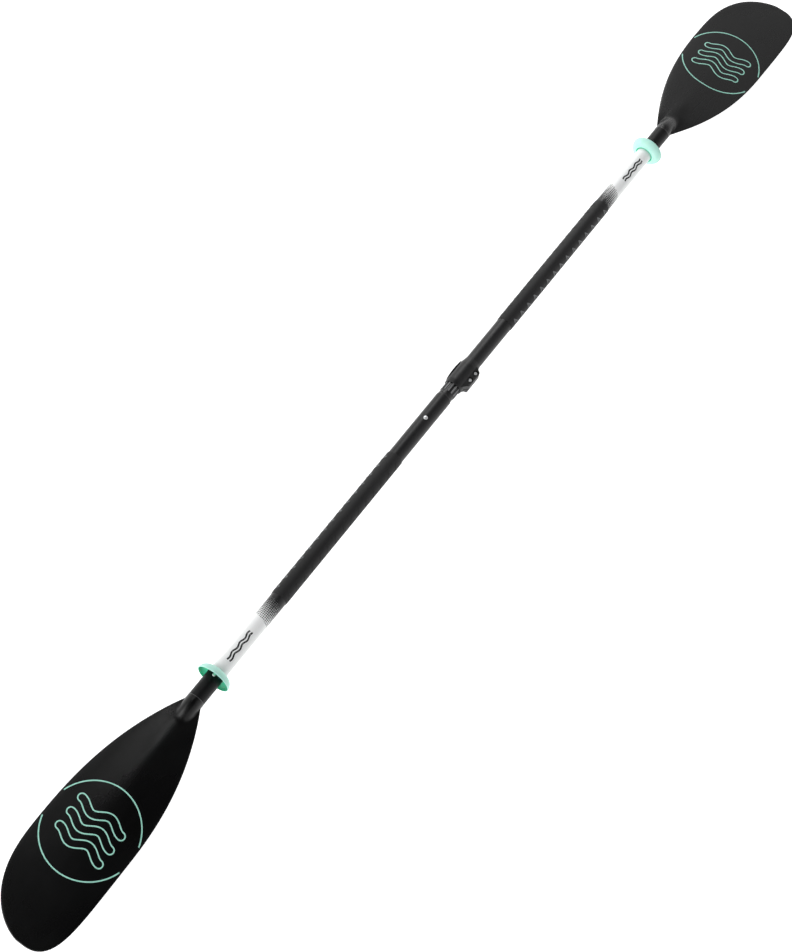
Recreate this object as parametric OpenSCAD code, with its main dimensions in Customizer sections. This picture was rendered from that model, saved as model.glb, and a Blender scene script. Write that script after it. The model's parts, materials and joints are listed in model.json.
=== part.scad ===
// Two-piece kayak paddle. The shaft runs along X with the lower half towards -X,
// the backs of both blades face up (+Z), and the drip rings and the blade tips touch Z = 0.

/* [Shaft] */
// Length from tip to tip with the two halves closed up
paddle_length = 2300; // [2260:10:2340]
// Outside diameter of the two shaft tubes
shaft_d = 28.4; // [28.2:0.1:28.6]
// Wall thickness of the shaft tubes
shaft_wall = 1.6; // [1.5:0.1:1.7]
// How far the lower tube stops short of the middle of the paddle
tube_end = 20; // [19:0.5:21]

/* [Blades] */
// Length of a blade from its neck on the shaft to its tip
blade_length = 444; // [430:2:456]
// Greatest width of a blade
blade_width = 153.2; // [146:0.4:162]
// How far the tip lies off the shaft's centre line
tip_offset = 20; // [14:1:26]
// How far the edges curl down from the middle of a blade
blade_camber = 7; // [4:0.5:9]
// Thickness along the middle of a blade
blade_core = 5; // [4:0.5:6]
// Thickness near the edge of a blade
blade_edge = 2.4; // [2:0.2:3]
// Diameter of the neck where a blade meets its shaft
neck_d = 29.8; // [29.6:0.1:30.4]
// Length of the blade's spigot inside the shaft
spigot_length = 66; // [60:1:80]

/* [Grips and bands] */
// Distance from the middle of the paddle to the near end of a grip
grip_start = 168; // [165:1:175]
// Length of a grip sleeve
grip_length = 324; // [320:2:330]
// Thickness of a grip sleeve
grip_wall = 1.1; // [0.9:0.1:1.3]
// Height of the raised chevrons on a grip
chevron_height = 0.4; // [0.3:0.1:0.6]
// Number of chevrons on a grip
chevron_count = 15; // [10:1:16]
// Thickness of the printed band
band_wall = 0.15; // [0.1:0.05:0.2]
// Thickness of the black sleeve between band and blade
sleeve_wall = 0.45; // [0.4:0.05:0.5]

/* [Drip rings] */
// Diameter of a drip ring's rim
ring_d = 59.2; // [56:0.4:62]
// Length of a drip ring along the shaft
ring_depth = 14; // [13:0.5:15]
// Distance from the lower blade's neck to its ring's rim
ring_setback = 42; // [41:0.5:43]
// How much further from its blade the upper ring sits
upper_ring_step = 8; // [0:1:9]

/* [Length clamp] */
// Outside diameter of the clamp's barrel
clamp_d = 34; // [33.6:0.1:34.4]
// Distance from the middle of the paddle to the clamp's mouth
clamp_start = 5; // [4.5:0.5:5.5]
// Length of the clamp
clamp_length = 62; // [61:1:64]
// Distance from the shaft's axis to the outside of the lugs
lug_reach = 23.6; // [23.2:0.1:24]
// Width of the slit between the lugs
slit = 1.8; // [1.6:0.1:2]
// Distance between the two clamp screws
screw_pitch = 16.5; // [16:0.1:17]
// Distance from the shaft's axis to the clamp screws
screw_reach = 17.6; // [17.5:0.1:17.8]

/* [Ferrule and snap button] */
// Length of the ferrule inside the lower tube
ferrule_seated = 110; // [105:5:120]
// Length of the ferrule beyond the middle of the paddle
ferrule_reach = 290; // [285:5:295]
// Wall thickness of the ferrule
ferrule_wall = 1.4; // [1.3:0.1:1.5]
// Distance from the lower tube's end to the snap button
button_setback = 60; // [58:1:62]
// Diameter of the snap button
button_d = 7.24; // [7:0.02:7.4]
// How far the snap button stands out of the shaft
button_proud = 2.2; // [1.8:0.1:2.4]

/* [Hidden] */

$fn = 64;
running_gap = 0.05;

shaft_r = shaft_d / 2;
bore_r = shaft_r - shaft_wall;
axis_height = ring_d / 2;
half_length = paddle_length / 2;
neck_r = neck_d / 2;
neck_at = half_length - blade_length;

sleeve_r = shaft_r + sleeve_wall;
ring_at = neck_at - ring_setback;
ring_bore_r = sleeve_r + running_gap;
ring_hub_r = ring_bore_r + 2.3;
ring_hub_length = 8;
ring_skin = 1.8;
sleeve_start = ring_at - ring_depth + 1;

rivet_r = 1.6;
rivet_head_r = 2.6;
rivet_head_height = 1;
rivet_at = neck_at - 44;
spigot_r = bore_r - running_gap;
spigot_wall = 2;

ferrule_r = bore_r - running_gap;
ferrule_bore_r = ferrule_r - ferrule_wall;
keyway_width = 3;
keyway_depth = 0.6;
plug_flange = 3;
plug_depth = 12;

button_at = -tube_end - button_setback;
button_r = button_d / 2;
button_hole_r = button_r + 0.08;
button_top = shaft_r + button_proud;
button_flange_r = button_r + 1.2;
button_flange_top = sqrt(pow(ferrule_bore_r, 2) - pow(button_flange_r, 2)) - 0.15;
button_flange_height = 1.2;

clamp_r = clamp_d / 2;
clamp_end = clamp_start + clamp_length;
shaft_start = clamp_start + 8;
lug_top = 11.2;
lug_bottom = -7;
screw_r = 1.5;
screw_head_r = 2.85;
screw_head_height = 2.1;
screw_seat = 8.2;
screw_places = [for (side = [-0.5, 0.5]) clamp_start + 34.5 + side * screw_pitch];
plate_thickness = 1.2;
cam_r = 4.6;
cam_throw = 0.6;
pin_r = 2.6;
pin_depth = lug_bottom - plate_thickness - running_gap - cam_r - cam_throw;
lever_gap = 0.3;
lever_start = clamp_start + 8;
lever_end = clamp_start + 52;
collar_r = 13.1;
rib_height = 1.1;
rib_count = 12;
flange_r = 15.2;

function clamped(x) = max(0, min(1, x));
function smooth(x) = let (c = clamped(x)) c * c * (3 - 2 * c);

// Points on an arc about centre c, from angle a to angle b.
function arc(c, r, a, b, steps) =
    [for (i = [0:steps]) c + r * [cos(a + (b - a) * i / steps), sin(a + (b - a) * i / steps)]];

// Lifts a child drawn about the shaft's axis so that the rings stand on Z = 0.
module raised() {
    translate([0, 0, axis_height]) children();
}

// Turns a child drawn along Z so that it lies along X.
module along_x() {
    rotate([0, 90, 0]) children();
}

// side is 1 for the upper half and -1 for the lower half.
module on_half(side) {
    if (side > 0) {
        raised() children();
    } else {
        raised() mirror([1, 0, 0]) children();
    }
}

// A turned piece on the shaft's axis. Each point is [radius, place along X].
module turned(points) {
    along_x() rotate_extrude() polygon(points);
}

module tube(outer_r, inner_r, from, to) {
    turned([[inner_r, from], [outer_r, from], [outer_r, to], [inner_r, to]]);
}

module rod(r, from, to) {
    translate([from, 0, 0]) along_x() cylinder(r = r, h = to - from);
}

// A cross drilling along Z through the upper side of the shaft only.
module top_hole(at, r) {
    translate([at, 0, 0]) cylinder(r = r, h = 2 * shaft_r);
}

// ---- Shaft tubes ----

module shaft_upper() {
    slot_length = clamp_length - 16;
    color("#1b1c1d") on_half(1) difference() {
        tube(shaft_r, bore_r, shaft_start, neck_at);
        for (turn = [0:90:270]) {
            rotate([turn, 0, 0])
                translate([shaft_start - 1, bore_r - 2, -slit / 2])
                    cube([slot_length, 6, slit]);
        }
        top_hole(rivet_at, rivet_r);
    }
}

module shaft_lower() {
    chamfer = 1.2;
    color("#1b1c1d") on_half(-1) difference() {
        turned([
            [bore_r, tube_end], [shaft_r - chamfer, tube_end], [shaft_r, tube_end + 2 * chamfer],
            [shaft_r, neck_at], [bore_r, neck_at]
        ]);
        top_hole(rivet_at, rivet_r);
        top_hole(-button_at, button_hole_r);
    }
}

module seal_plug(at) {
    plug_length = 28;
    color("#d8d8d2") rod(bore_r, at, at + plug_length);
}

module seal_plug_upper() {
    on_half(1) seal_plug(ferrule_reach + 60);
}

module seal_plug_lower() {
    on_half(-1) seal_plug(tube_end + ferrule_seated + 25);
}

// ---- Ferrule ----

module ferrule_tube() {
    start = -tube_end - ferrule_seated;
    color("#26272a") raised() difference() {
        tube(ferrule_r, ferrule_bore_r, start, ferrule_reach);
        translate([-tube_end - 2, -keyway_width / 2, -ferrule_r - 1])
            cube([ferrule_reach + tube_end + 3, keyway_width, keyway_depth + 1]);
        top_hole(button_at, button_hole_r);
    }
}

module ferrule_plug() {
    flange_gap = 0.25;
    lead = 1;
    color("#101112") raised() turned([
        [0, ferrule_reach - plug_depth],
        [ferrule_bore_r, ferrule_reach - plug_depth],
        [ferrule_bore_r, ferrule_reach],
        [ferrule_r - flange_gap, ferrule_reach],
        [ferrule_r - flange_gap, ferrule_reach + plug_flange - lead],
        [ferrule_r - flange_gap - lead, ferrule_reach + plug_flange],
        [0, ferrule_reach + plug_flange]
    ]);
}

// The fluted collar in the clamp's mouth. It turns with the ferrule, which slides through it.
module index_collar() {
    from = 0.5 - tube_end;
    flange_at = clamp_start + 4;
    flange_width = 3;
    key_gap = 0.2;
    key_width = keyway_width - 2 * key_gap;
    rib_start = from + 7.5;
    color("#2c2d2f") raised() union() {
        turned([
            [bore_r, from], [collar_r - 0.5, from], [collar_r, from + 0.8],
            [collar_r, flange_at], [flange_r, flange_at], [flange_r, flange_at + flange_width],
            [bore_r, flange_at + flange_width]
        ]);
        for (rib = [0:rib_count - 1]) {
            rotate([360 * rib / rib_count, 0, 0])
                translate([rib_start, 0, 0]) along_x() linear_extrude(flange_at - rib_start + 0.5)
                    polygon([[0.3 - collar_r, -1.9], [0.3 - collar_r, 1.9],
                        [-collar_r - rib_height, 1], [-collar_r - rib_height, -1]]);
        }
        translate([from + 1, -key_width / 2, -bore_r - 0.4])
            cube([flange_at - from, key_width, keyway_depth - key_gap + running_gap + 0.4]);
    }
}

// ---- Snap button ----

module snap_button() {
    dome = 1.6;
    color("#c9ccce") raised() translate([button_at, 0, 0]) rotate_extrude() polygon(concat(
        [[0, button_flange_top - button_flange_height],
        [button_flange_r, button_flange_top - button_flange_height],
        [button_flange_r, button_flange_top],
        [button_r, button_flange_top]],
        [for (a = [0:15:90]) [button_r * cos(a), button_top - dome + dome * sin(a)]]
    ));
}

// A folded leaf spring that pushes the button out of the ferrule.
module snap_spring() {
    strip = 0.6;
    width = 7;
    top = button_flange_top - button_flange_height;
    bottom = 0.05 - sqrt(pow(ferrule_bore_r, 2) - pow(width / 2, 2));
    fold_r = 3.2;
    fold = [-38, (top + bottom) / 2];
    outer = concat([[4, top], [-4, top]], arc(fold, fold_r, 100, 260, 10),
        [[-4, bottom], [6, bottom]]);
    inner = concat([[6, bottom + strip], [-4, bottom + strip]],
        arc(fold, fold_r - strip, 260, 100, 10), [[-4, top - strip], [4, top - strip]]);
    color("#b4b7ba") raised() translate([button_at, width / 2, 0]) rotate([90, 0, 0])
        linear_extrude(width) polygon(concat(outer, inner));
}

// ---- Blades ----

// Half width of the blade at distance d from its neck. Each edge swells to a full
// half width at distance peak from the tip, and closes on the tip, which lies off centre.
function edge_y(d, peak, offset, fullness, power) =
    let (full = blade_width / 2, to_tip = blade_length - d + 0.3)
    to_tip > peak
    ? neck_r + (full - neck_r) * (1 - pow(1 - clamped((d - 8) / (blade_length - peak - 8)), 2.3))
    : offset + (full - offset) * pow(1 - pow(1 - to_tip / peak, fullness), 1 / power);
function long_edge(d) = edge_y(d, 184, tip_offset, 5.8, 2.85);
function short_edge(d) = edge_y(d, 166, -tip_offset, 2.8, 1.7);

function blade_drop(d) = (axis_height - blade_edge / 2) * pow(d / blade_length, 1.5);
function spine(d, reach) = neck_r * pow(1 - clamped((d - 4) / reach), 1.7);
function below(y, r) = r > abs(y) ? sqrt(r * r - y * y) : -sqrt(y * y - r * r);
function sink(d) = neck_r * pow(max(0, d - 8) / 40, 1.5);

// How far the back stands above the blade's middle surface: a plate with a low ridge,
// and the end of the neck's tube, which sinks into the plate with a fillet round it.
function back_height(d, y, plate, blend) =
    let (
        fade = pow(1 - clamped((d - 10) / 220), 1.3),
        low = plate + 3.2 * smooth((d - 40) / 60) * fade * exp(-pow(y / 16, 2)),
        tube = below(y, neck_r) - sink(d),
        fillet = 4 * blend
    )
    (low + tube + sqrt(pow(low - tube, 2) + fillet * fillet)) / 2;

// One point of a blade's skin. v runs from -1 at the long edge to 1 at the short edge,
// and face is 1 for the back and -1 for the power face.
function skin(d, v, face) =
    let (
        low = -long_edge(d),
        high = short_edge(d),
        y = (low + high) / 2 + v * (high - low) / 2,
        blend = smooth((d - 4) / 56),
        plate = blade_edge / 2 * sqrt(1 - pow(v, 8))
            + (blade_core - blade_edge) / 2 * pow(1 - v * v, 2) * (1 - pow(d / blade_length, 4)),
        round = sqrt(max(0, 1 - pow(y / neck_r, 2))),
        ridge = exp(-pow(y / (0.7 * neck_r), 2)),
        face_height = blend * plate + spine(d, 150) * ((1 - blend) * round + blend * ridge),
        height = face > 0 ? back_height(d, y, blend * plate, blend) : -face_height,
        curl = blade_camber * v * v * blend * pow(sin(180 * d / blade_length), 1.4)
    )
    [d + neck_at, y, height - blade_drop(d) - curl];

module blade() {
    stations = 44;
    across = 28;
    ring_size = 2 * across;
    places = [for (k = [0:stations]) blade_length * (1 - cos(180 * k / stations)) / 2];
    rings = [for (d = places) concat(
        [for (i = [0:across - 1]) skin(d, -cos(180 * i / across), 1)],
        [for (i = [0:across - 1]) skin(d, cos(180 * i / across), -1)]
    )];
    points = [for (ring = rings) each ring];
    sides = [for (k = [0:stations - 1], i = [0:ring_size - 1])
        let (j = (i + 1) % ring_size, a = k * ring_size, b = a + ring_size)
        each [[a + i, b + j, b + i], [a + i, a + j, b + j]]];
    near_end = [[for (i = [0:ring_size - 1]) ring_size - 1 - i]];
    far_end = [[for (i = [0:ring_size - 1]) stations * ring_size + i]];
    color("#151617") difference() {
        union() {
            polyhedron(points, concat(sides, near_end, far_end));
            rod(spigot_r, neck_at - spigot_length, neck_at + 5);
        }
        rod(spigot_r - spigot_wall, neck_at - spigot_length - 1, neck_at - 6);
        top_hole(rivet_at, rivet_r);
    }
}

module blade_upper() {
    on_half(1) blade();
}

module blade_lower() {
    on_half(-1) blade();
}

module blade_rivet() {
    tail_r = 2.3;
    tail_top = sqrt(pow(spigot_r - spigot_wall, 2) - pow(tail_r, 2)) - 0.02;
    head_base = sleeve_r;
    color("#c9ccce") translate([rivet_at, 0, 0]) rotate_extrude() polygon(concat(
        [[0, tail_top - 1], [tail_r, tail_top - 1], [tail_r, tail_top], [rivet_r, tail_top],
        [rivet_r, head_base], [rivet_head_r, head_base]],
        [for (a = [15:15:90]) [rivet_head_r * cos(a), head_base + rivet_head_height * sin(a)]]
    ));
}

module blade_rivet_upper() {
    on_half(1) blade_rivet();
}

module blade_rivet_lower() {
    on_half(-1) blade_rivet();
}

// ---- Sleeves, bands and grips ----

module neck_sleeve() {
    color("#17181a") difference() {
        tube(sleeve_r, shaft_r, sleeve_start, neck_at);
        top_hole(rivet_at, rivet_r);
    }
}

module neck_sleeve_upper() {
    on_half(1) neck_sleeve();
}

module neck_sleeve_lower() {
    on_half(-1) neck_sleeve();
}

module printed_band() {
    color("#f2f3f3") tube(shaft_r + band_wall, shaft_r, grip_start + grip_length, sleeve_start);
}

module printed_band_upper() {
    on_half(1) printed_band();
}

module printed_band_lower() {
    on_half(-1) printed_band();
}

// A soft sleeve with a row of raised chevrons along each side of its top.
module grip() {
    outer_r = shaft_r + grip_wall;
    lip = 0.8;
    pitch = (grip_length - 26) / (chevron_count - 1);
    chevron = [[0, 0.6], [-2.3, -11.3], [-0.1, -11.6], [1.2, -4.2], [7.2, -11.4], [9.2, -10.6]];
    color("#202122") union() {
        turned([
            [shaft_r, grip_start], [outer_r - lip, grip_start], [outer_r, grip_start + lip],
            [outer_r, grip_start + grip_length - lip],
            [outer_r - lip, grip_start + grip_length], [shaft_r, grip_start + grip_length]
        ]);
        intersection() {
            tube(outer_r + chevron_height, outer_r - 0.5,
                grip_start, grip_start + grip_length);
            for (i = [0:chevron_count - 1], turn = [36, -36]) {
                translate([grip_start + 12 + pitch * i, 0, 0]) rotate([turn, 0, 0])
                    linear_extrude(shaft_d) scale([1, sign(turn)]) polygon(chevron);
            }
        }
    }
}

module grip_upper() {
    on_half(1) grip();
}

module grip_lower() {
    on_half(-1) grip();
}

// A flared cup on a short hub. The cup opens towards the blade and sheds drips.
module drip_ring() {
    rim_r = ring_d / 2;
    hub_start = ring_at - ring_depth;
    hub_end = hub_start + ring_hub_length;
    outside = [for (a = [0:9:90])
        [ring_hub_r - 0.4 + (rim_r - ring_hub_r + 0.4) * sin(a), ring_at - ring_depth * cos(a)]];
    inside = [for (a = [90:-9:0])
        [ring_hub_r + (rim_r - ring_skin - ring_hub_r) * sin(a),
        ring_at - (ring_depth - 2 * ring_skin) * cos(a)]];
    color("#9fe6d0") turned(concat(
        [[ring_bore_r, hub_start]], outside, inside,
        [[ring_hub_r, hub_end], [ring_bore_r, hub_end]]
    ));
}

module drip_ring_upper() {
    on_half(1) translate([-upper_ring_step, 0, 0]) drip_ring();
}

module drip_ring_lower() {
    on_half(-1) drip_ring();
}

// ---- Length clamp ----

module at_screws() {
    for (x = screw_places) {
        translate([x, -screw_reach, 0]) children();
    }
}

module at_pin() {
    translate([0, -screw_reach, pin_depth]) children();
}

// The two lugs before the slit is cut, seen from above and then from the end.
module lugs() {
    base = 6;
    corner = 5;
    first = clamp_start + 15.5;
    last = clamp_start + 50;
    chamfer = 2.6;
    intersection() {
        translate([0, 0, lug_bottom]) linear_extrude(lug_top - lug_bottom) polygon(concat(
            [[clamp_start + 6, -base], [clamp_start + 6, -shaft_r - 1]],
            [[first, -lug_reach]],
            arc([last - corner, corner - lug_reach], corner, 270, 350, 6),
            [[clamp_start + 54, -shaft_r], [clamp_start + 54, -base]]
        ));
        translate([clamp_start, 0, 0]) along_x() linear_extrude(clamp_length) polygon([
            [-lug_top, -base], [-lug_top, chamfer - lug_reach], [chamfer - lug_top, -lug_reach],
            [-lug_bottom - 1, -lug_reach], [-lug_bottom, 1 - lug_reach], [-lug_bottom, -base]
        ]);
    }
}

module clamp_body() {
    groove_start = clamp_start + 3.7;
    counterbore_r = 4.75;
    plate_gap = 0.15;
    color("#202123") raised() difference() {
        union() {
            turned([
                [shaft_r, clamp_start], [clamp_r - 1.6, clamp_start], [clamp_r - 1, clamp_start + 1],
                [clamp_r, clamp_start + 8], [clamp_r, clamp_end - 14],
                [clamp_r - 0.8, clamp_end - 8], [shaft_r + 0.5, clamp_end], [shaft_r, clamp_end]
            ]);
            difference() {
                lugs();
                rod(shaft_r, clamp_start - 1, clamp_end + 1);
            }
        }
        rod(collar_r + rib_height + 0.5, clamp_start - 1, groove_start + 1);
        rod(flange_r + 0.3, groove_start, shaft_start - 0.1);
        translate([clamp_start - 1, -lug_reach - 1, -slit / 2])
            cube([clamp_length - 5, lug_reach - shaft_r + 4, slit]);
        at_screws() cylinder(r = screw_r + 0.2, h = 60, center = true);
        at_screws() translate([0, 0, screw_seat]) cylinder(r = counterbore_r, h = 20);
        at_pin() rod(cam_r + cam_throw + 0.35, lever_start, clamp_end);
        translate([clamp_start + 15, -lug_reach, lug_bottom - plate_thickness - plate_gap])
            cube([36, 9.5, plate_thickness + plate_gap]);
    }
}

module cam_plate() {
    color("#8f9296") raised() difference() {
        translate([clamp_start + 17, -lug_reach + 1.2, lug_bottom - plate_thickness])
            cube([32, 8, plate_thickness]);
        at_screws() cylinder(r = screw_r + 0.2, h = 60, center = true);
    }
}

module lever_pin() {
    color("#9a9da0") raised() difference() {
        at_pin() rod(pin_r, clamp_start + 17, clamp_start + 51);
        at_screws() cylinder(r = screw_r, h = 60, center = true);
    }
}

module clamp_screws() {
    socket_r = 1.45;
    color("#c9ccce") raised() at_screws() difference() {
        union() {
            translate([0, 0, pin_depth - pin_r + 0.3])
                cylinder(r = screw_r, h = screw_seat - pin_depth + pin_r - 0.3);
            translate([0, 0, screw_seat]) rotate_extrude() polygon([
                [0, 0], [screw_head_r, 0], [screw_head_r, screw_head_height - 0.5],
                [screw_head_r - 0.5, screw_head_height], [0, screw_head_height]
            ]);
        }
        translate([0, 0, screw_seat + 0.7])
            cylinder(r = socket_r, h = screw_head_height, $fn = 6);
    }
}

// A curved lever on an off-centre hub. It wraps under the barrel to the far side.
module clamp_lever() {
    inner_r = clamp_r + lever_gap;
    reach = 40;
    slot = 6.4;
    color("#1c1d1f") raised() difference() {
        union() {
            intersection() {
                turned([
                    [inner_r, lever_start + 3], [inner_r + 0.6, lever_start],
                    [inner_r + 1.4, lever_start + 6], [inner_r + 2.2, lever_start + 18],
                    [inner_r + 2.1, lever_start + 28], [inner_r + 1.3, lever_end - 5],
                    [inner_r + 0.6, lever_end], [inner_r, lever_end - 2]
                ]);
                translate([lever_start - 1, 0, 0]) along_x() linear_extrude(lever_end)
                    polygon([[0, 0], [reach * 0.675, -reach], [reach, reach], [-14, reach]]);
            }
            at_pin() translate([0, 0, cam_throw]) rod(cam_r, lever_start + 8, lever_end);
        }
        at_pin() rod(pin_r + running_gap, lever_start, lever_end + 1);
        rod(inner_r, lever_start - 1, lever_end + 1);
        for (x = screw_places) {
            translate([x, 0, 0]) at_pin() rod(cam_r + 1.6, -slot / 2, slot / 2);
        }
    }
}

shaft_upper();
shaft_lower();
ferrule_tube();
ferrule_plug();
blade_upper();
blade_lower();
blade_rivet_upper();
blade_rivet_lower();
neck_sleeve_upper();
neck_sleeve_lower();
seal_plug_upper();
seal_plug_lower();
printed_band_upper();
printed_band_lower();
grip_upper();
grip_lower();
drip_ring_upper();
drip_ring_lower();
clamp_body();
clamp_lever();
lever_pin();
cam_plate();
clamp_screws();
index_collar();
snap_button();
snap_spring();
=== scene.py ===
import json
import math

import bpy
import numpy as np
from mathutils import Matrix, Vector


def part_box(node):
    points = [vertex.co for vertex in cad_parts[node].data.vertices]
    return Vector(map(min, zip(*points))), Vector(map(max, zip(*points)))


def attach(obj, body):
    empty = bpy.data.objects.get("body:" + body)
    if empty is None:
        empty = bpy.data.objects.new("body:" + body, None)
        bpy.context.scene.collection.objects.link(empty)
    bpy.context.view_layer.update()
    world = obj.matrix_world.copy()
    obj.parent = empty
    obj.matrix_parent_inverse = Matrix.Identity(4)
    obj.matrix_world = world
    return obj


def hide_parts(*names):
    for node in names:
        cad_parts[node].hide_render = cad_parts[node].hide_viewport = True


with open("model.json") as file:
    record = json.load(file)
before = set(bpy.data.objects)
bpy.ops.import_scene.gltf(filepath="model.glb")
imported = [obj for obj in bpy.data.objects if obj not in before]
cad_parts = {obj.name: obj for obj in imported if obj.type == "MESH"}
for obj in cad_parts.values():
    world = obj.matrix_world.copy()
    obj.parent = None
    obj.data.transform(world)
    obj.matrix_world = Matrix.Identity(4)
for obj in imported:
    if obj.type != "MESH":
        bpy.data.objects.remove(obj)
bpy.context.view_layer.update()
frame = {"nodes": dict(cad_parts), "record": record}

# ---- Sizes, read from the frame or repeated from the part, in metres ----

HALVES = {1: "upper", -1: "lower"}

TUBE_LOW, TUBE_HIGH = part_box("shaft_upper")
SHAFT_R = (TUBE_HIGH.z - TUBE_LOW.z) / 2
AXIS_Z = (TUBE_HIGH.z + TUBE_LOW.z) / 2
NECK_AT = TUBE_HIGH.x
NECK_R = 0.0149

BLADE_LOW, BLADE_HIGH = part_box("blade_upper")
BLADE_LENGTH = BLADE_HIGH.x - NECK_AT
HALF_WIDTH = BLADE_HIGH.y
TIP_OFFSET = 0.020
CAMBER = 0.007
CORE = 0.005
EDGE = 0.0024
SWELL_FROM = 0.008
SWELL_POWER = 2.3
TIP_STUB = 0.0003
TIP_ROUND = 0.0016
NECK_BLEND_FROM = 0.004
NECK_BLEND_LENGTH = 0.056
NECK_SINK_LENGTH = 0.040
NECK_FILLET = 0.004
RIDGE_FROM = 0.040
RIDGE_RISE = 0.060
RIDGE_HEIGHT = 0.0032
RIDGE_WIDTH = 0.016
RIDGE_FADE_FROM = 0.010
RIDGE_FADE_LENGTH = 0.220
SPINE_FROM = 0.004
SPINE_LENGTH = 0.150
SPINE_WIDTH = 0.7 * NECK_R
SPIGOT_AT = BLADE_LOW.x
SPIGOT_R = 0.01255
SPIGOT_WALL = 0.002
SPIGOT_FLOOR = 0.006

BAND_LOW, BAND_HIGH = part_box("printed_band_upper")
BAND_FROM = BAND_LOW.x
BAND_R = BAND_HIGH.y

GRIP_LOW, GRIP_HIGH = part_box("grip_upper")
GRIP_FROM, GRIP_TO = GRIP_LOW.x, GRIP_HIGH.x
CHEVRON_HEIGHT = 0.0004
GRIP_R = GRIP_HIGH.y - CHEVRON_HEIGHT

RING_LOW, RING_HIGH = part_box("drip_ring_upper")
RING_RIMS = {1: RING_HIGH.x, -1: -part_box("drip_ring_lower")[0].x}
RING_DEPTH = RING_HIGH.x - RING_LOW.x
RING_R = RING_HIGH.y
RING_BORE_R = 0.0147
RING_HUB_R = 0.0170
RING_HUB_LENGTH = 0.008
RING_SKIN = 0.0018

SCREWS_LOW, SCREWS_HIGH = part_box("clamp_screws")
SCREWS_MIDDLE = (SCREWS_LOW.x + SCREWS_HIGH.x) / 2
SCREWS_Y = (SCREWS_LOW.y + SCREWS_HIGH.y) / 2
SCREW_PITCH = 0.0165
RECESS_R = 0.00475
RECESS_TOP = AXIS_Z + 0.0108
COLLAR_R = 0.0131


# ---- Mesh helpers ----

def add_object(name, points, faces, material, body, slot, replaced=()):
    """A smooth-shaded mesh piece that rides on a body."""
    mesh = bpy.data.meshes.new(name)
    mesh.from_pydata([tuple(p) for p in points], [], faces)
    mesh.validate()
    mesh.shade_smooth()
    mesh.set_sharp_from_angle(angle=math.radians(38))
    mesh.materials.append(material)
    piece = bpy.data.objects.new(name, mesh)
    bpy.context.scene.collection.objects.link(piece)
    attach(piece, body)
    if replaced:
        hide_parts(*replaced)


def on_half(points, faces, side):
    """Points and faces drawn for the upper half, mirrored in X for the lower half."""
    if side > 0:
        return points, faces
    return [(-p[0], p[1], p[2]) for p in points], [tuple(reversed(f)) for f in faces]


def ring_faces(count, rings, closed=False):
    """Quads between rings of count points each, and back to the first ring if closed."""
    faces = []
    for k in range(rings if closed else rings - 1):
        a = k * count
        b = (k + 1) % rings * count
        for i in range(count):
            j = (i + 1) % count
            faces.append((a + i, a + j, b + j, b + i))
    return faces


def revolved(profile, steps):
    """Points and faces of a closed profile of (x, radius) turned about the shaft's axis."""
    points = []
    for x, r in profile:
        for i in range(steps):
            angle = 2 * math.pi * i / steps
            points.append((x, r * math.cos(angle), AXIS_Z + r * math.sin(angle)))
    return points, ring_faces(steps, len(profile), closed=True)


# ---- Blades ----

def smooth(x):
    """Eases from 0 to 1 as x does."""
    c = np.clip(x, 0, 1)
    return c * c * (3 - 2 * c)


def edge_y(d, peak, offset, fullness, power):
    """Half width on one side at distance d from the neck. The widest place is peak from the tip."""
    to_tip = BLADE_LENGTH - d + TIP_STUB
    swell = np.clip((d - SWELL_FROM) / (BLADE_LENGTH - peak - SWELL_FROM), 0, 1)
    near = NECK_R + (HALF_WIDTH - NECK_R) * (1 - (1 - swell) ** SWELL_POWER)
    closing = 1 - np.clip(1 - to_tip / peak, 0, 1) ** fullness
    far = offset + (HALF_WIDTH - offset) * closing ** (1 / power)
    return np.where(to_tip > peak, near, far)


def long_edge(d):
    """Half width towards -Y, where the tip points."""
    return edge_y(d, 0.184, TIP_OFFSET, 5.8, 2.85)


def short_edge(d):
    """Half width towards +Y."""
    return edge_y(d, 0.166, -TIP_OFFSET, 2.8, 1.7)


def blade_drop(d):
    """How far the plate has bent down at distance d from the neck."""
    return (AXIS_Z - EDGE / 2) * (d / BLADE_LENGTH) ** 1.5


def back_height(d, y, plate, blend):
    """The back over the blade's middle: plate, low ridge and the sinking end of the neck's tube."""
    fade = (1 - np.clip((d - RIDGE_FADE_FROM) / RIDGE_FADE_LENGTH, 0, 1)) ** 1.3
    ridge = RIDGE_HEIGHT * smooth((d - RIDGE_FROM) / RIDGE_RISE) * fade
    low = plate + ridge * np.exp(-((y / RIDGE_WIDTH) ** 2))
    side = NECK_R**2 - y * y
    sink = NECK_R * (np.clip(d - SWELL_FROM, 0, None) / NECK_SINK_LENGTH) ** 1.5
    tube = np.sign(side) * np.sqrt(np.abs(side)) - sink
    fillet = NECK_FILLET * blend
    return (low + tube + np.sqrt((low - tube) ** 2 + fillet**2)) / 2


def face_height(d, y, plate, blend):
    """The power face under the blade's middle: plate and a longer, tapering spine."""
    around = np.sqrt(np.clip(1 - (y / NECK_R) ** 2, 0, None))
    ridge = np.exp(-((y / SPINE_WIDTH) ** 2))
    spine = NECK_R * (1 - np.clip((d - SPINE_FROM) / SPINE_LENGTH, 0, 1)) ** 1.7
    return plate + spine * ((1 - blend) * around + blend * ridge)


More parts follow.
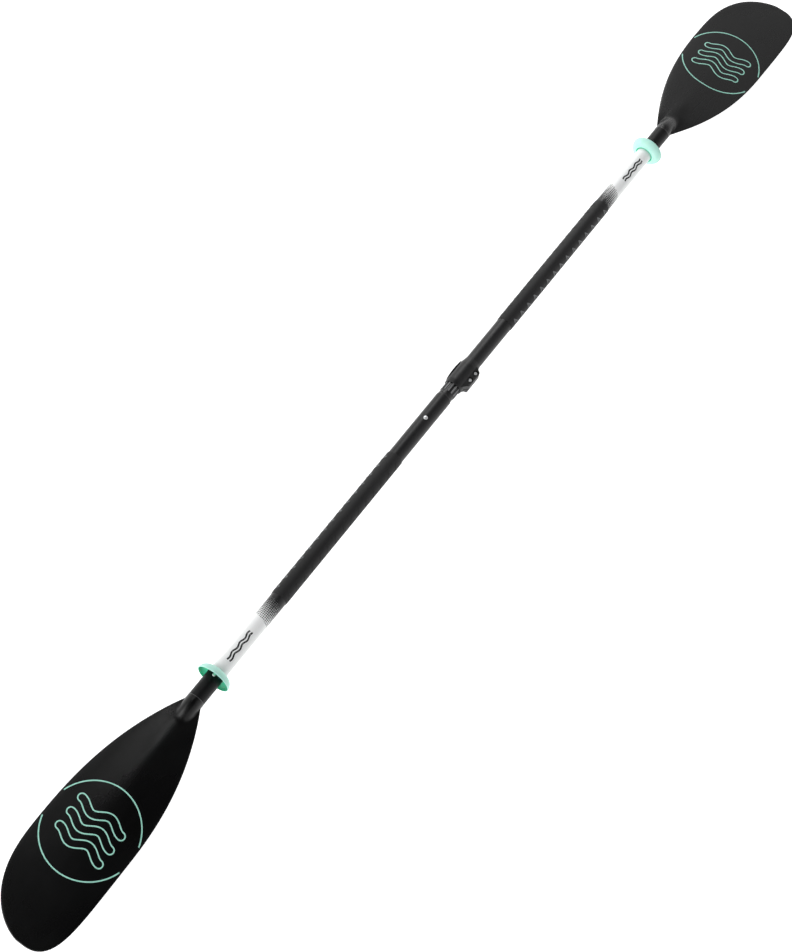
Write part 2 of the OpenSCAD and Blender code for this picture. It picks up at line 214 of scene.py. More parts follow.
def skin_z(d, y, face):
    """Height of the blade's back (face 1) or power face (face -1) over point d, y."""
    low = -long_edge(d)
    high = short_edge(d)
    v = np.clip((2 * y - low - high) / (high - low), -1, 1)
    blend = smooth((d - NECK_BLEND_FROM) / NECK_BLEND_LENGTH)
    tip_round = np.sqrt(1 - np.clip((d - BLADE_LENGTH + TIP_ROUND) / TIP_ROUND, 0, 1) ** 2 * 0.9)
    plate = EDGE / 2 * np.sqrt(1 - v**8) * tip_round
    plate = plate + (CORE - EDGE) / 2 * (1 - v * v) ** 2 * (1 - (d / BLADE_LENGTH) ** 4)
    height = back_height if face > 0 else face_height
    curl = CAMBER * v * v * blend * np.sin(np.pi * np.clip(d / BLADE_LENGTH, 0, 1)) ** 1.4
    return AXIS_Z + face * height(d, y, plate * blend, blend) - blade_drop(d) - curl


def blade_points():
    """Rings up the spigot's bore, over its end, back to the neck and on round the blade to its tip."""
    stations, across = 140, 110
    d = BLADE_LENGTH * (1 - np.cos(np.pi * np.linspace(0, 1, stations))) / 2
    v = -np.cos(np.pi * np.arange(across) / across)
    rings = []
    for place in d:
        low, high = -long_edge(place), short_edge(place)
        ring = []
        for sign, face in ((1, 1), (-1, -1)):
            y = (low + high) / 2 + sign * v * (high - low) / 2
            z = skin_z(np.full(across, place), y, face)
            ring += [(NECK_AT + place, a, b) for a, b in zip(y, z)]
        rings.append(ring)
    neck = rings[0]
    floor_at = NECK_AT - SPIGOT_FLOOR
    bore_r = SPIGOT_R - SPIGOT_WALL
    spigot = [(floor_at, 0.0002), (floor_at, bore_r), (SPIGOT_AT, bore_r),
              (SPIGOT_AT, SPIGOT_R), (NECK_AT, SPIGOT_R)]
    inner = []
    for x, r in spigot:
        inner.append([(x, p[1] * r / NECK_R, AXIS_Z + (p[2] - AXIS_Z) * r / NECK_R) for p in neck])
    rings = inner + rings
    count = 2 * across
    faces = [tuple(reversed(f)) for f in ring_faces(count, len(rings))]
    faces.append(tuple(range(count)))
    last = (len(rings) - 1) * count
    faces.append(tuple(last + count - 1 - i for i in range(count)))
    return [p for ring in rings for p in ring], faces


def make_blades(material):
    """Both blades with their spigots."""
    points, faces = blade_points()
    for side, half in HALVES.items():
        add_object(f"blade_skin_{half}", *on_half(points, faces, side), material, f"{half}_half",
                   "blade", [f"blade_{half}"])


# ---- Ribbons: thin printed lines and raised marks that follow a surface ----

RIBBON_SINK = 0.0002


def ribbon(line, width, place, lift, closed=False):
    """A raised line. place(u, w, height) puts a plane point at a height over a surface."""
    line = np.array(line, float)
    if closed:
        before, after = np.roll(line, 1, 0), np.roll(line, -1, 0)
    else:
        before = np.vstack([line[:1] * 2 - line[1:2], line[:-1]])
        after = np.vstack([line[1:], line[-1:] * 2 - line[-2:-1]])
    a = line - before
    b = after - line
    a /= np.linalg.norm(a, axis=1)[:, None]
    b /= np.linalg.norm(b, axis=1)[:, None]
    tangent = a + b
    tangent /= np.linalg.norm(tangent, axis=1)[:, None]
    normal = np.stack([-tangent[:, 1], tangent[:, 0]], 1)
    mitre = 1 / np.clip(np.abs(a[:, 0] * tangent[:, 0] + a[:, 1] * tangent[:, 1]), 0.5, 1)
    reach = (width / 2 * mitre)[:, None] * normal
    points = []
    for side, height in ((-1, -RIBBON_SINK), (-1, lift), (1, lift), (1, -RIBBON_SINK)):
        edge = line + side * reach
        points.append(place(edge[:, 0], edge[:, 1], height))
    count = len(line)
    grid = np.stack(points, 1).reshape(-1, 3)
    faces = []
    for k in range(count if closed else count - 1):
        n = (k + 1) % count
        for i in range(4):
            j = (i + 1) % 4
            faces.append((4 * k + i, 4 * n + i, 4 * n + j, 4 * k + j))
    if not closed:
        faces.append((0, 1, 2, 3))
        faces.append((4 * count - 1, 4 * count - 2, 4 * count - 3, 4 * count - 4))
    return [tuple(p) for p in grid], faces


def joined(parts):
    """Several (points, faces) as one."""
    points, faces = [], []
    for more, its_faces in parts:
        base = len(points)
        points += more
        faces += [tuple(base + i for i in f) for f in its_faces]
    return points, faces


def on_blade(u, w, height):
    """Place on the back of the upper blade: u along the shaft, w across it."""
    return np.stack([u, w, skin_z(u - NECK_AT, w, 1) + height], 1)


def on_tube(radius, turn):
    """A surface round the shaft: u along it, w an arc length from the line at angle turn."""
    def place(u, w, height):
        angle = math.radians(turn) + w / radius
        r = radius + height
        return np.stack([u, -r * np.sin(angle), AXIS_Z + r * np.cos(angle)], 1)
    return place


# ---- Prints on the blades ----

PRINT_LINE = 0.0021
PRINT_LIFT = 0.00012
PRINT_MARGIN = 0.0032
PRINT_CIRCLE_R = 0.0765
PRINT_CENTRES = {1: NECK_AT + 0.233, -1: NECK_AT + 0.256}
WAVE_PITCH = 0.026
WAVE_HALF_LENGTH = 0.042
WAVE_THICKNESS = 0.0125
WAVE_HEIGHT = 0.0058
WAVE_COUNT = 1.5


def circle_arcs(centre):
    """The printed circle, left out where it runs off the blade's edges."""
    angles = np.radians(np.arange(0, 360, 1.0))
    u = centre + PRINT_CIRCLE_R * np.cos(angles)
    w = PRINT_CIRCLE_R * np.sin(angles)
    d = u - NECK_AT
    inside = (w > -long_edge(d) + PRINT_MARGIN) & (w < short_edge(d) - PRINT_MARGIN)
    start = int(np.argmin(inside))
    arcs, run = [], []
    for i in np.roll(np.arange(len(angles)), -start):
        if inside[i]:
            run.append((u[i], w[i]))
        elif run:
            arcs.append(run)
            run = []
    return arcs + [run] if run else arcs


def round_end(centre, start):
    """Points of a half circle that turns from one side of a wavy bar to the other."""
    along = np.array([-start[1], start[0]])
    angles = [math.pi * k / 10 for k in range(1, 10)]
    return [centre + WAVE_THICKNESS / 2 * (start * math.cos(a) + along * math.sin(a)) for a in angles]


def wave_bar(centre):
    """The outline of a wavy bar with round ends, lying across the blade."""
    t = np.linspace(-1, 1, 70)
    turn = WAVE_COUNT * math.pi
    mid = centre + WAVE_HEIGHT * np.sin(turn * t)
    slope = WAVE_HEIGHT * turn / WAVE_HALF_LENGTH * np.cos(turn * t)
    across = np.stack([np.ones(len(t)), -slope], 1) / np.sqrt(1 + slope**2)[:, None]
    line = np.stack([mid, t * WAVE_HALF_LENGTH], 1)
    outline = list(line + across * WAVE_THICKNESS / 2)
    outline += round_end(line[-1], across[-1])
    outline += list((line - across * WAVE_THICKNESS / 2)[::-1])
    outline += round_end(line[0], -across[0])
    return outline


def print_blades(material):
    """The mint circle and a plain water sign of three waves on the back of each blade."""
    for side, half in HALVES.items():
        centre = PRINT_CENTRES[side]
        parts = [ribbon(arc, PRINT_LINE, on_blade, PRINT_LIFT) for arc in circle_arcs(centre)]
        for row in (-1, 0, 1):
            outline = wave_bar(centre + row * WAVE_PITCH)
            parts.append(ribbon(outline, PRINT_LINE, on_blade, PRINT_LIFT, closed=True))
        points, faces = on_half(*joined(parts), side)
        add_object(f"blade_print_{half}", points, faces, material, f"{half}_half", "blade")


# ---- Marks on the printed bands ----

MARK_CENTRES = {1: NECK_AT - 0.1175, -1: NECK_AT - 0.107}
MARK_TURNS = {1: 18, -1: 10}
MARK_HALF_LENGTH = 0.030
MARK_LINE = 0.0028
MARK_LIFT = 0.00008
RIPPLE_OFFSET = 0.0026
RIPPLE_HEIGHT = 0.0013
RIPPLE_COUNT = 3


def mark_bands(material):
    """A plain mark of two ripples on each printed band."""
    t = np.linspace(-1, 1, 110)
    for side, half in HALVES.items():
        along = MARK_CENTRES[side] + MARK_HALF_LENGTH * t
        place = on_tube(BAND_R, MARK_TURNS[side])
        parts = []
        for offset in (-RIPPLE_OFFSET, RIPPLE_OFFSET):
            across = offset + RIPPLE_HEIGHT * np.sin(RIPPLE_COUNT * math.pi * t)
            parts.append(ribbon(np.stack([along, across], 1), MARK_LINE, place, MARK_LIFT))
        points, faces = on_half(*joined(parts), side)
        add_object(f"band_mark_{half}", points, faces, material, f"{half}_half", "printed_band")


# ---- Grips ----

GRIP_LIP = 0.0008
CHEVRON_COUNT = 15
CHEVRON_MARGINS = 0.012, 0.014
CHEVRON_PITCH = (GRIP_TO - GRIP_FROM - sum(CHEVRON_MARGINS)) / (CHEVRON_COUNT - 1)
CHEVRON_TURNS = -36, 36
BAR_STEP = 0.0012


def raised_bar(start, end, width, place, height):
    """A low straight bar that follows the grip's surface in short steps."""
    pieces = math.ceil(math.dist(start, end) / BAR_STEP)
    return ribbon(np.linspace(start, end, pieces + 1), width, place, height)


def chevron(apex, sign, place):
    """An arm round the grip and a slanting arm that meet at the apex, as two raised bars."""
    start = apex + 0.0003, sign * 0.0010
    round_arm = apex - 0.0012, sign * 0.0124
    slanting_arm = apex + 0.0082, sign * 0.0120
    return [
        raised_bar(start, round_arm, 0.0022, place, CHEVRON_HEIGHT),
        raised_bar(start, slanting_arm, 0.0021, place, CHEVRON_HEIGHT * 0.97),
    ]


def make_grips(material):
    """Each grip's sleeve with rounded ends, and its two rows of chevrons."""
    corner = [(GRIP_LIP * (1 - math.cos(a)), GRIP_LIP * (math.sin(a) - 1))
              for a in np.radians(range(0, 91, 15))]
    profile = [(GRIP_FROM, SHAFT_R)] + [(GRIP_FROM + x, GRIP_R + r) for x, r in corner]
    profile += [(GRIP_TO - x, GRIP_R + r) for x, r in reversed(corner)] + [(GRIP_TO, SHAFT_R)]
    parts = [revolved(profile, steps=144)]
    for turn in CHEVRON_TURNS:
        place = on_tube(GRIP_R, turn)
        for i in range(CHEVRON_COUNT):
            apex = GRIP_FROM + CHEVRON_MARGINS[0] + CHEVRON_PITCH * i
            parts += chevron(apex, math.copysign(1, turn), place)
    for side, half in HALVES.items():
        points, faces = on_half(*joined(parts), side)
        add_object(f"soft_grip_{half}", points, faces, material, f"{half}_half", "grip_rubber",
                   [f"grip_{half}"])


# ---- Drip rings ----

def ring_profile(rim_at):
    """The cup's section: bore, outside curve, rounded rim, inside curve and hub."""
    soft = 0.0004
    bead = RING_SKIN / 2
    hub_from = rim_at - RING_DEPTH
    hub_to = hub_from + RING_HUB_LENGTH
    bore = [(hub_from + soft, RING_BORE_R), (hub_from, RING_BORE_R + soft)]
    outside = [(rim_at - RING_DEPTH * math.cos(a),
                RING_HUB_R - soft + (RING_R - RING_HUB_R + soft) * math.sin(a))
               for a in np.radians(np.linspace(0, 86.3, 26))]
    rim = [(rim_at - bead + bead * math.sin(a), RING_R - bead + bead * math.cos(a))
           for a in np.radians(range(20, 161, 20))]
    inner_depth = RING_DEPTH - 2 * RING_SKIN
    inside = [(rim_at - inner_depth * math.cos(a),
               RING_HUB_R + (RING_R - RING_SKIN - RING_HUB_R) * math.sin(a))
              for a in np.radians(np.linspace(85, 0, 22))]
    hub = [(hub_to - soft, RING_HUB_R), (hub_to, RING_HUB_R - soft),
           (hub_to, RING_BORE_R + soft), (hub_to - soft, RING_BORE_R)]
    return bore + outside + rim + inside + hub


def make_rings(material):
    """Both drip rings, with the open side of the cup towards the blade."""
    for side, half in HALVES.items():
        points, faces = on_half(*revolved(ring_profile(RING_RIMS[side]), steps=160), side)
        add_object(f"drip_cup_{half}", points, faces, material, f"drip_ring_{half}", "ring_rubber",
                   [f"drip_ring_{half}"])


# ---- Materials ----

class Nodes:
    """Builds one node material. Inputs are numbers, colours or other nodes' outputs."""

    def __init__(self, name):
        self.material = bpy.data.materials.new(name)
        self.material.use_nodes = True
        self.tree = self.material.node_tree
        self.shader = self.tree.nodes["Principled BSDF"]
        self.place = self.tree.nodes.new("ShaderNodeTexCoord").outputs["Object"]

    def plug(self, socket, value):
        """Links another node's output to a socket, or sets a constant on it."""
        if isinstance(value, bpy.types.NodeSocket):
            self.tree.links.new(value, socket)
        else:
            socket.default_value = value

    def make(self, kind, inputs=(), **settings):
        """A new node. inputs are in the order of its sockets, or a dict of socket names."""
        node = self.tree.nodes.new(kind)
        for key, value in settings.items():
            setattr(node, key, value)
        pairs = inputs.items() if isinstance(inputs, dict) else enumerate(inputs)
        for key, value in pairs:
            self.plug(node.inputs[key], value)
        return node

    def math(self, operation, *inputs):
        return self.make("ShaderNodeMath", inputs, operation=operation).outputs[0]

    def remap(self, value, low, high, to_low=0.0, to_high=1.0):
        """Stretches low..high to to_low..to_high and clamps."""
        inputs = (value, low, high, to_low, to_high)
        return self.make("ShaderNodeMapRange", inputs).outputs[0]

    def noise(self, scale, detail, roughness=0.5, squash=None):
        """Fractal noise, longer along the axes whose squash is below 1."""
        place = self.place
        if squash:
            place = self.make("ShaderNodeMapping", {"Vector": place, "Scale": squash}).outputs[0]
        inputs = {"Vector": place, "Scale": scale, "Detail": detail, "Roughness": roughness}
        return self.make("ShaderNodeTexNoise", inputs).outputs[0]

    def cells(self, scale):
        """The distance to the nearest of many scattered points."""
        inputs = {"Vector": self.place, "Scale": scale}
        return self.make("ShaderNodeTexVoronoi", inputs).outputs["Distance"]

    def mix(self, factor, low, high):
        """A colour from low at factor 0 to high at factor 1."""
        node = self.make("ShaderNodeMix", data_type="RGBA")
        self.plug(node.inputs["Factor"], factor)
        self.plug(node.inputs[6], low)
        self.plug(node.inputs[7], high)
        return node.outputs[2]

    def bump(self, height, distance, strength=1.0, under=None):
        """A normal that follows height, on top of another normal if one is given."""
        inputs = {"Height": height, "Distance": distance, "Strength": strength}
        if under is not None:
            inputs["Normal"] = under
        return self.make("ShaderNodeBump", inputs).outputs[0]

    def finish(self, **inputs):
        """Plugs the shader's inputs, named in lower case, and gives back the material."""
        for key, value in inputs.items():
            self.plug(self.shader.inputs[key.replace("_", " ").title().replace("Ior", "IOR")], value)
        return self.material

    def xyz(self):
        """The place in the frame: x along the shaft, y across it and z up."""
        return self.make("ShaderNodeSeparateXYZ", [self.place]).outputs

    def distance(self, a, b):
        """The distance of a point from the origin of two axes at right angles."""
        squares = self.math("ADD", self.math("MULTIPLY", a, a), self.math("MULTIPLY", b, b))
        return self.math("SQRT", squares)

    def angle(self):
        """The angle round the shaft, from straight up."""
        x, y, z = self.xyz()
        return self.math("ARCTAN2", y, self.math("SUBTRACT", z, AXIS_Z))

    def radius(self):
        """The distance from the shaft's axis."""
        x, y, z = self.xyz()
        return self.distance(y, self.math("SUBTRACT", z, AXIS_Z))

    def by_half(self, lower, upper):
        """One value in the lower half of the paddle and another in the upper half."""
        return self.remap(self.xyz()[0], -0.1, 0.1, lower, upper)


def rgb(*values):
    """A colour socket's value."""
    return (*values, 1.0)


def plug_nylon():
    """Moulded plastic: a fine eroded grain, soft colour drift and faint scuffs along the shaft."""
    n = Nodes("plug_nylon")
    drift = n.remap(n.noise(9.0, 3.0), 0.3, 0.7)
    scuffs = n.remap(n.noise(70.0, 6.0, 0.65, (0.2, 1, 1)), 0.58, 0.78)
    shade = n.math("ADD", n.math("MULTIPLY", drift, 0.7), n.math("MULTIPLY", scuffs, 0.5))
    colour = n.mix(shade, rgb(0.012, 0.012, 0.0125), rgb(0.017, 0.017, 0.018))
    roughness = n.math("ADD", n.remap(drift, 0, 1, 0.41, 0.49), n.math("MULTIPLY", scuffs, 0.09))
    grained = n.bump(n.noise(2200.0, 2.0), 0.00006)
    return n.finish(base_color=colour, roughness=roughness, specular_ior_level=0.35,
                    normal=n.bump(scuffs, 0.00004, 0.12, grained))


def blade_nylon():
    """Satin black nylon with faint scuffs. A paler line at each neck's rim is a painted highlight."""
    n = Nodes("blade_nylon")
    drift = n.remap(n.noise(9.0, 3.0), 0.3, 0.7)
    scuffs = n.remap(n.noise(70.0, 3.0, 0.5, (0.2, 1, 1)), 0.45, 0.85)
    shade = n.math("ADD", n.math("MULTIPLY", drift, 0.7), n.math("MULTIPLY", scuffs, 0.4))
    plain = n.mix(shade, rgb(0.0014, 0.0014, 0.0015), rgb(0.0028, 0.0028, 0.0030))
    from_neck = n.math("SUBTRACT", n.math("ABSOLUTE", n.xyz()[0]), NECK_AT)
    # Painted highlight: rim marks a paler line about a millimetre from each neck, where a glint would fall.
    rim = n.math("MULTIPLY", n.remap(from_neck, 0.0009, 0.0013, 1, 0),
                 n.remap(n.noise(160.0, 3.0), 0.35, 0.6, 0.4, 1.0))
    roughness = n.math("ADD", n.remap(drift, 0, 1, 0.26, 0.29), n.math("MULTIPLY", scuffs, 0.02))
    return n.finish(base_color=n.mix(rim, plain, rgb(0.075, 0.075, 0.077)), roughness=roughness,
                    normal=n.bump(n.noise(1800.0, 2.0), 0.00004), specular_ior_level=0.5)


def clamp_nylon():
    """The clamp's moulded nylon, with painted shade down in the two screw recesses, which are also rougher.
    """
    n = Nodes("clamp_nylon")
    x, y, z = n.xyz()
    from_middle = n.math("ABSOLUTE", n.math("SUBTRACT", x, SCREWS_MIDDLE))
    from_screw = n.distance(n.math("SUBTRACT", from_middle, SCREW_PITCH / 2),
                            n.math("SUBTRACT", y, SCREWS_Y))
    # Painted shade: the two screw recesses are coloured near black where their shadow falls.
    painted_recess_shade = n.math("MULTIPLY", n.remap(from_screw, RECESS_R - 0.0001, RECESS_R + 0.0002, 1, 0),
                    n.math("LESS_THAN", z, RECESS_TOP))
    drift = n.remap(n.noise(24.0, 3.0), 0.3, 0.7)
    scuffs = n.remap(n.noise(160.0, 6.0, 0.65, (0.4, 1, 1)), 0.60, 0.78)
    shade = n.math("ADD", n.math("MULTIPLY", drift, 0.6), n.math("MULTIPLY", scuffs, 0.6))
    skin = n.mix(shade, rgb(0.010, 0.010, 0.0105), rgb(0.016, 0.016, 0.017))
    grained = n.bump(n.noise(2600.0, 2.0), 0.00005)
    roughness = n.math("ADD", n.remap(drift, 0, 1, 0.36, 0.44), n.math("MULTIPLY", painted_recess_shade, 0.3))
    return n.finish(base_color=n.mix(painted_recess_shade, skin, rgb(0.0015, 0.0015, 0.0015)), roughness=roughness,
                    normal=n.bump(scuffs, 0.00004, 0.5, grained), specular_ior_level=0.35)


def collar_nylon():
    """Dark grey nylon with a painted highlight on its ribs and painted shade in the valleys between them.
    """
    n = Nodes("collar_nylon")
    # Painted highlight on the ribs and painted shade in the valleys, chosen by the distance from the axis.
    rib_highlight = n.remap(n.radius(), COLLAR_R + 0.0002, COLLAR_R + 0.0009)
    tone = n.remap(n.noise(300.0, 4.0), 0.3, 0.7)
    ribs = n.mix(tone, rgb(0.13, 0.13, 0.135), rgb(0.20, 0.20, 0.205))
    return n.finish(base_color=n.mix(rib_highlight, rgb(0.006, 0.006, 0.0065), ribs),
                    roughness=n.remap(tone, 0, 1, 0.30, 0.42), normal=n.bump(n.noise(2600.0, 2.0), 0.00004))


def wound_tube(name, dark, light, rough):
    """Glass-fibre tube under a thin clear coat: two crossing layers of wound fibre."""
    n = Nodes(name)
    turns = n.math("MULTIPLY", n.angle(), 22)
    along = n.math("MULTIPLY", n.xyz()[0], 1300)
    left = n.math("SINE", n.math("ADD", along, turns))
    right = n.math("SINE", n.math("SUBTRACT", along, turns))
    weave = n.math("MULTIPLY", n.math("MAXIMUM", left, right), n.noise(500.0, 3.0))
    tone = n.remap(weave, -0.3, 0.6)
    drift = n.remap(n.noise(14.0, 4.0, 0.6, (0.35, 1, 1)), 0.3, 0.7)
    roughness = n.math("ADD", n.remap(drift, 0, 1, rough - 0.05, rough + 0.05),
                       n.math("MULTIPLY", tone, 0.04))
    return n.finish(base_color=n.mix(n.math("MULTIPLY", tone, drift), rgb(*dark), rgb(*light)),
                    roughness=roughness, normal=n.bump(weave, 0.00003, 0.6),
                    specular_ior_level=0.35)


def heat_shrink():
    """The black sleeve by each neck: satin, with fine streaks along the shaft."""
    n = Nodes("heat_shrink")
    streaks = n.noise(260.0, 4.0, 0.6, (0.06, 1, 1))
    drift = n.remap(n.noise(30.0, 3.0), 0.3, 0.7)
    return n.finish(base_color=n.mix(streaks, rgb(0.0025, 0.0025, 0.003), rgb(0.007, 0.007, 0.0075)),
                    roughness=n.remap(drift, 0, 1, 0.36, 0.46), specular_ior_level=0.22,
                    normal=n.bump(streaks, 0.00006, 0.7))


HALFTONE_FROM = {1: BAND_FROM - 0.007, -1: BAND_FROM + 0.001}
HALFTONE_LENGTH = 0.048
HALFTONE_PITCH = 0.0033
HALFTONE_COLUMNS = 28
HALFTONE_SLANTS = {1: 0.55, -1: 0.25}


def halftone(n):
    """1 on the ink: squares that grow until they are solid, at a slant, towards the grip."""
    x, y, z = n.xyz()
    leaning = n.math("MULTIPLY", y, n.by_half(HALFTONE_SLANTS[-1], HALFTONE_SLANTS[1]))
    slanted = n.math("ABSOLUTE", n.math("SUBTRACT", x, leaning))
    start = n.by_half(HALFTONE_FROM[-1], HALFTONE_FROM[1])
    faded = n.math("DIVIDE", n.math("SUBTRACT", slanted, start), HALFTONE_LENGTH)
    eased = n.math("POWER", n.math("MAXIMUM", faded, 0.0), 2.0)
    half_side = n.remap(eased, 0, 1, 0.505, 0.28)
    along = n.math("DIVIDE", n.math("ABSOLUTE", x), HALFTONE_PITCH)
    around = n.math("MULTIPLY", n.angle(), HALFTONE_COLUMNS / (2 * math.pi))
    offsets = [n.math("ABSOLUTE", n.math("SUBTRACT", n.math("FRACT", v), 0.5)) for v in (along, around)]
    squares = n.math("LESS_THAN", n.math("MAXIMUM", *offsets), half_side)
    return n.math("MULTIPLY", squares, n.math("LESS_THAN", faded, 1.0))


def band_print():
    """White varnish that a halftone turns black next to the grip."""
    n = Nodes("band_print")
    inked = halftone(n)
    soft = n.remap(n.noise(25.0, 3.0), 0.3, 0.7)
    white = n.mix(soft, rgb(0.89, 0.90, 0.90), rgb(0.94, 0.95, 0.95))
    colour = n.mix(inked, white, rgb(0.010, 0.010, 0.011))
    wear = n.noise(420.0, 5.0, 0.6, (0.15, 1, 1))
    return n.finish(base_color=colour, roughness=n.remap(wear, 0.3, 0.7, 0.30, 0.42),
                    normal=n.bump(n.math("ADD", wear, n.math("MULTIPLY", inked, 0.6)), 0.00004, 0.6))


def grip_rubber():
    """Soft rubber with a pebbled grain. The raised chevrons are a little paler, and one row on each grip is
    much paler, a painted highlight.
    """
    n = Nodes("grip_rubber")
    raised = n.math("GREATER_THAN", n.radius(), GRIP_R + CHEVRON_HEIGHT * 0.5)
    x, y, z = n.xyz()
    # Painted highlight: the chevrons on this side of each grip are coloured pale, as a glint on their
    # raised edges.
    glint_side = n.math("LESS_THAN", n.math("MULTIPLY", n.math("SIGN", x), y), 0.0)
    pebbles = n.cells(1500.0)
    drift = n.remap(n.noise(12.0, 4.0), 0.3, 0.7)
    rubber = n.mix(drift, rgb(0.0085, 0.0085, 0.009), rgb(0.013, 0.013, 0.0135))
    chevrons = n.mix(glint_side, rgb(0.016, 0.016, 0.017), rgb(0.17, 0.175, 0.18))
    wear_and_glint = n.math("MULTIPLY", raised, n.remap(n.noise(350.0, 3.0), 0.25, 0.6, 0.65, 1.0))
    roughness = n.math("ADD", n.remap(drift, 0, 1, 0.50, 0.60), n.math("MULTIPLY", pebbles, 0.08))
    return n.finish(base_color=n.mix(wear_and_glint, rubber, chevrons), roughness=roughness,
                    specular_ior_level=0.35, normal=n.bump(pebbles, 0.00012, 0.6))


def ring_rubber():
    """Mint silicone, paler outside. Inside the cup it is coloured a deeper, darker green as painted shade.
    """
    n = Nodes("ring_rubber")
    rim_at = n.by_half(RING_RIMS[-1], RING_RIMS[1])
    from_rim = n.math("SUBTRACT", rim_at, n.math("ABSOLUTE", n.xyz()[0]))
    reach = n.math("DIVIDE", from_rim, RING_DEPTH - RING_SKIN)
    left_over = n.math("SUBTRACT", 1.0, n.math("MULTIPLY", reach, reach))
    bowl = n.math("SQRT", n.math("MAXIMUM", 0.0, left_over))
    mid_skin = n.math("MULTIPLY_ADD", bowl, RING_R - RING_SKIN / 2 - RING_HUB_R, RING_HUB_R)
    # Painted shade: inside marks the cup's inner skin, coloured a darker green where the cup is shaded.
    inside = n.remap(n.math("SUBTRACT", mid_skin, n.radius()), -0.0002, 0.0004)
    cloud = n.remap(n.noise(45.0, 4.0), 0.3, 0.7)
    outer = n.mix(cloud, rgb(0.43, 0.82, 0.70), rgb(0.53, 0.89, 0.79))
    inner = n.mix(cloud, rgb(0.008, 0.50, 0.27), rgb(0.018, 0.60, 0.35))
    dust = n.noise(900.0, 3.0, 0.6)
    return n.finish(base_color=n.mix(inside, outer, inner), roughness=n.remap(dust, 0.3, 0.7, 0.42, 0.54),
                    normal=n.bump(dust, 0.00005, 0.5), subsurface_weight=0.05)


def mint_ink():
    """Screen-printed mint lines with slightly uneven ink."""
    n = Nodes("mint_ink")
    tone = n.remap(n.noise(220.0, 3.0), 0.35, 0.7)
    colour = n.mix(tone, rgb(0.32, 0.70, 0.57), rgb(0.42, 0.80, 0.68))
    return n.finish(base_color=colour, roughness=n.remap(tone, 0, 1, 0.42, 0.55),
                    normal=n.bump(n.noise(2600.0, 1.0), 0.00003))


def black_ink():
    """Black print with a slight mottle."""
    n = Nodes("black_ink")
    tone = n.noise(700.0, 3.0)
    return n.finish(base_color=n.mix(tone, rgb(0.006, 0.006, 0.007), rgb(0.016, 0.016, 0.018)),
                    roughness=n.remap(tone, 0.3, 0.7, 0.32, 0.45), normal=n.bump(tone, 0.00002))


def steel(name, dark, light, rough, metal):
    """Steel with fine turning marks and a mottled polish."""
    n = Nodes(name)
    marks = n.noise(2200.0, 4.0, 0.6, (1, 0.12, 1))
    mottle = n.remap(n.noise(380.0, 4.0), 0.3, 0.7)
    return n.finish(base_color=n.mix(mottle, rgb(*dark), rgb(*light)), metallic=metal,
                    roughness=n.remap(marks, 0.3, 0.7, rough - 0.06, rough + 0.08),
                    normal=n.bump(marks, 0.00002, 0.6))


def foam():
    """Pale closed-cell foam with small bubbles."""
    n = Nodes("foam")
    bubbles = n.cells(650.0)
    tone = n.remap(n.noise(80.0, 3.0), 0.3, 0.7)
    return n.finish(base_color=n.mix(tone, rgb(0.55, 0.55, 0.52), rgb(0.68, 0.68, 0.65)),
                    roughness=n.remap(bubbles, 0, 0.7, 0.75, 0.95), normal=n.bump(bubbles, 0.0005))


def make_materials():
    """One material for each of the frame's material slots, and the two inks."""
    return {
        "blade": blade_nylon(),
        "clamp_plastic": clamp_nylon(),
        "collar_plastic": collar_nylon(),
        "black_plastic": plug_nylon(),
        "grip_rubber": grip_rubber(),
        "shaft": wound_tube("wound_shaft", (0.009, 0.009, 0.0095), (0.017, 0.017, 0.018), 0.38),
        "ferrule": wound_tube("wound_ferrule", (0.010, 0.010, 0.011), (0.016, 0.016, 0.017), 0.24),
        "black_sleeve": heat_shrink(),
        "printed_band": band_print(),
        "ring_rubber": ring_rubber(),
        "steel": steel("turned_steel", (0.72, 0.73, 0.74), (0.86, 0.87, 0.88), 0.34, 0.75),
        "spring_steel": steel("spring_steel", (0.42, 0.43, 0.45), (0.55, 0.56, 0.58), 0.30, 1.0),
        "foam": foam(),
        "mint_ink": mint_ink(),
        "black_ink": black_ink(),
    }


def dress_nodes(materials):
    """Gives every node of the frame the material of its slot."""
    for part in frame["record"]["subparts"]:
        data = frame["nodes"][part["node"]].data
        data.materials.clear()
        data.materials.append(materials[part["material_slot"]])


def soften(node, width):
    """Rounds the moulded edges of one of the frame's nodes."""
    bevel = frame["nodes"][node].modifiers.new("soft_edges", "BEVEL")
    bevel.width = width
    bevel.segments = 2
    bevel.limit_method = "ANGLE"
    bevel.angle_limit = math.radians(40)
    bevel.harden_normals = True


# ---- The paddle ----

materials = make_materials()
dress_nodes(materials)
for node in ("clamp_body", "clamp_lever", "index_collar"):
    soften(node, width=0.0002)
make_blades(materials["blade"])
print_blades(materials["mint_ink"])
mark_bands(materials["black_ink"])
make_grips(materials["grip_rubber"])
make_rings(materials["ring_rubber"])


# ---- Studio ----

def make_camera():
    """A camera above the lower blade and a little to the long edges' side of the shaft."""
    position = Vector((-1.555, -0.530, AXIS_Z + 2.784))
    aim = Vector((-0.1944, -0.0213, AXIS_Z))
    data = bpy.data.cameras.new("camera")
    data.sensor_width = 36
    data.lens = 71.47
    forward = (aim - position).normalized()
    along = (Vector((1, 0, 0)) - forward * forward.x).normalized()
    across = forward.cross(along)
    roll = math.radians(50.76)
    right = math.cos(roll) * along + math.sin(roll) * across
    up = math.sin(roll) * along - math.cos(roll) * across
    camera = bpy.data.objects.new("camera", data)
    bpy.context.scene.collection.objects.link(camera)
    pose = Matrix((right, up, -forward)).transposed().to_4x4()
    pose.translation = position
    camera.matrix_world = pose
    bpy.context.scene.camera = camera


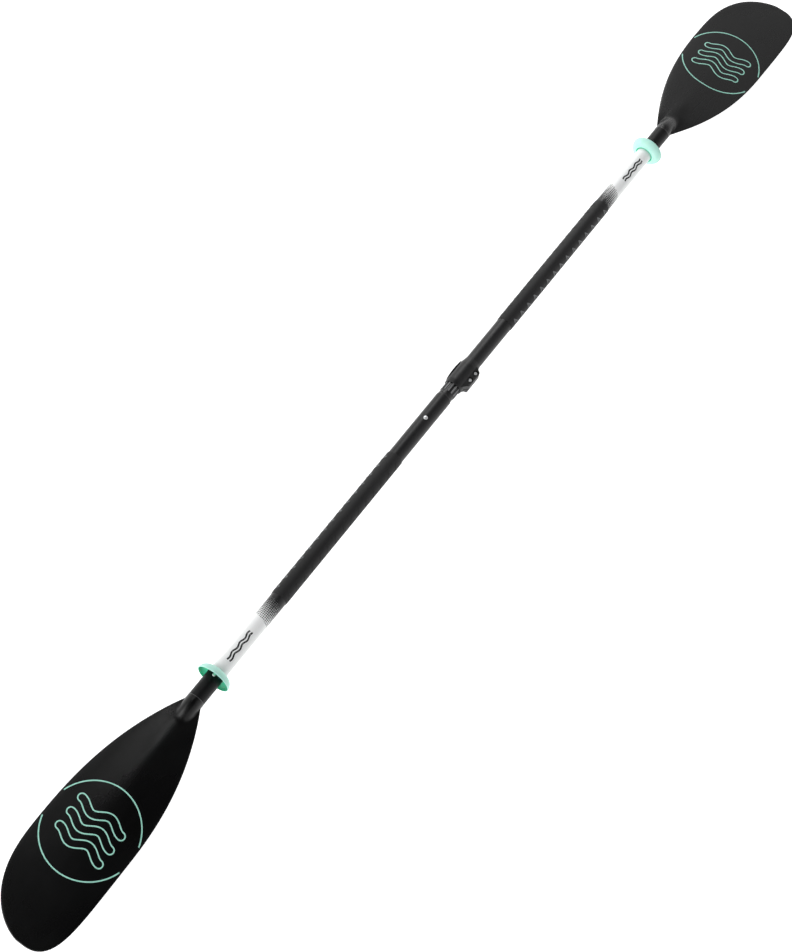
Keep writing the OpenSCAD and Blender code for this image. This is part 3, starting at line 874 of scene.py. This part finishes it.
def make_floor():
    """A large pale floor a little below the paddle."""
    size, height = 9.0, -0.07
    mesh = bpy.data.meshes.new("floor")
    corners = [(x * size, y * size, height) for x, y in ((-1, -1), (1, -1), (1, 1), (-1, 1))]
    mesh.from_pydata(corners, [], [(0, 1, 2, 3)])
    n = Nodes("floor_paper")
    mesh.materials.append(n.finish(base_color=rgb(0.9, 0.9, 0.9), roughness=0.9,
                                   emission_color=rgb(1, 1, 1), emission_strength=0.75))
    floor = bpy.data.objects.new("floor", mesh)
    bpy.context.scene.collection.objects.link(floor)


def make_sky():
    """A soft white dome: bright at the horizon, a paler band half way up and dark overhead."""
    world = bpy.data.worlds.new("dome")
    bpy.context.scene.world = world
    world.use_nodes = True
    tree = world.node_tree
    place = tree.nodes.new("ShaderNodeTexCoord")
    split = tree.nodes.new("ShaderNodeSeparateXYZ")
    ramp = tree.nodes.new("ShaderNodeValToRGB")
    tree.links.new(place.outputs["Generated"], split.inputs[0])
    tree.links.new(split.outputs["Z"], ramp.inputs[0])
    stops = [(0.0, 1.0), (0.35, 0.90), (0.50, 0.44), (0.60, 0.32), (0.68, 0.72), (0.74, 0.76),
             (0.79, 0.08), (0.90, 0.02), (1.0, 0.0)]
    while len(ramp.color_ramp.elements) < len(stops):
        ramp.color_ramp.elements.new(0.5)
    for element, (at, value) in zip(ramp.color_ramp.elements, stops):
        element.position = at
        element.color = (value, value, value, 1)
    tree.links.new(ramp.outputs[0], tree.nodes["Background"].inputs["Color"])


def add_lamp(name, position, aim, size, power):
    """A soft rectangular lamp."""
    data = bpy.data.lights.new(name, "AREA")
    data.shape = "RECTANGLE"
    data.size, data.size_y = size
    data.energy = power
    lamp = bpy.data.objects.new(name, data)
    lamp.location = position
    lamp.rotation_mode = "QUATERNION"
    lamp.rotation_quaternion = (Vector(aim) - Vector(position)).to_track_quat("-Z", "Y")
    bpy.context.scene.collection.objects.link(lamp)


make_camera()
make_floor()
make_sky()
add_lamp("key", (-4.5, 2.0, 2.2), (0, 0, 0), (5.0, 5.0), 180)
add_lamp("overhead", (0.0, 1.25, 3.1), (-0.8, 0, 0), (0.5, 0.5), 2.8)
add_lamp("fill", (1.6, 1.6, 1.5), (0.6, 0, 0), (1.2, 1.2), 21)
bpy.context.scene.view_settings.view_transform = "Standard"
